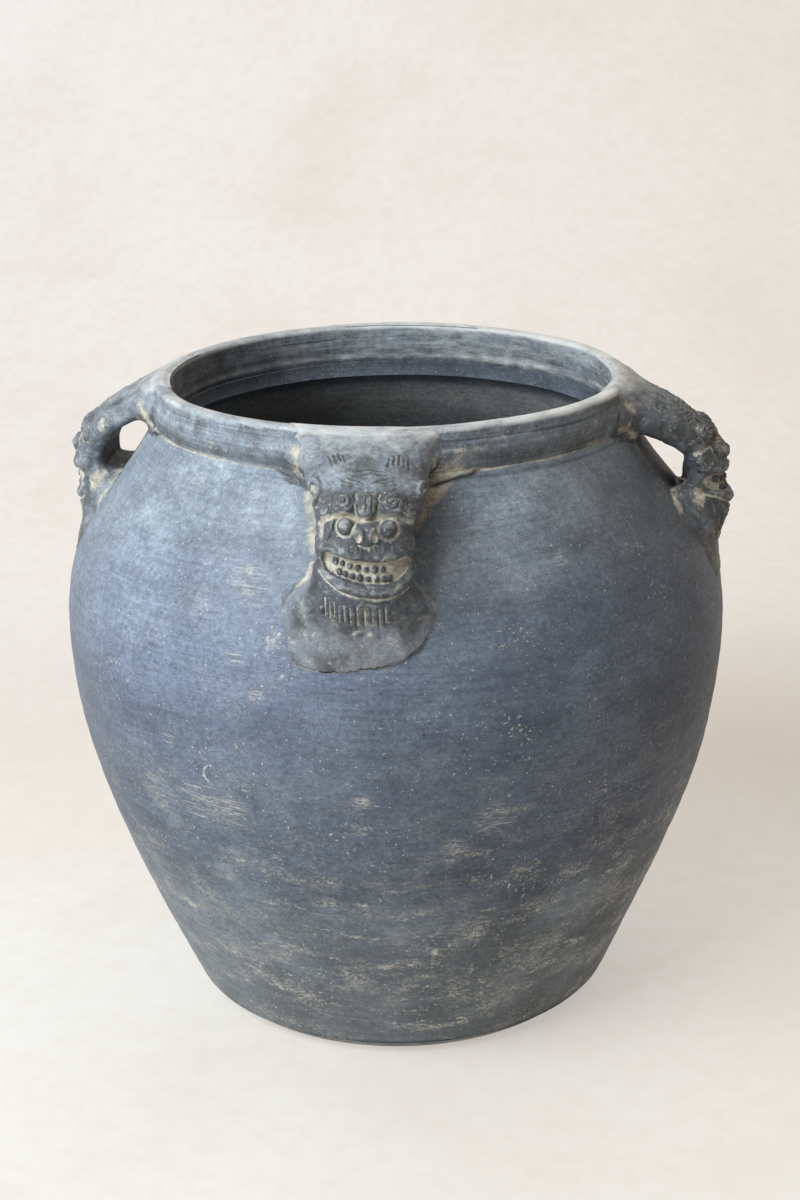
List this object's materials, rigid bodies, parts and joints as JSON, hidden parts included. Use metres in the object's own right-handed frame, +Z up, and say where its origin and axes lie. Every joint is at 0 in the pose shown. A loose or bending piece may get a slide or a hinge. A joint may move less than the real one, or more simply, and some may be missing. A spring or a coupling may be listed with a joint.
{
  "type": "plant pot",
  "caption": "Wide-mouthed smoked clay jar used as a plant pot, with strap handles carrying pressed guardian beast masks around the shoulder and a drainage hole.",
  "frame": {"origin": "centre of the flat underside, on the surface the pot stands on", "axes": "+Z up along the pot's axis; the front handle is at -Y, the others at +X, +Y and -X"},
  "size_m": [0.4268, 0.4268, 0.4048],
  "materials": {
    "smoked_clay": "burnished, smoked, unglazed, dusty",
    "pressed_clay": "pressed relief, matte, pale slip in the recesses",
    "luting_clay": "rough, pale and dusty"
  },
  "bodies": {
    "root": {"base_disc": "smoked_clay", "lower_wall": "smoked_clay", "upper_wall": "smoked_clay", "collar": "smoked_clay", "lip_band": "smoked_clay", "handle_front": "smoked_clay", "mask_front": "pressed_clay", "upper_fillet_front": "luting_clay", "lower_fillet_front": "luting_clay", "handle_right": "smoked_clay", "mask_right": "pressed_clay", "upper_fillet_right": "luting_clay", "lower_fillet_right": "luting_clay", "handle_back": "smoked_clay", "mask_back": "pressed_clay", "upper_fillet_back": "luting_clay", "lower_fillet_back": "luting_clay", "handle_left": "smoked_clay", "mask_left": "pressed_clay", "upper_fillet_left": "luting_clay", "lower_fillet_left": "luting_clay"}
  },
  "joints": []
}
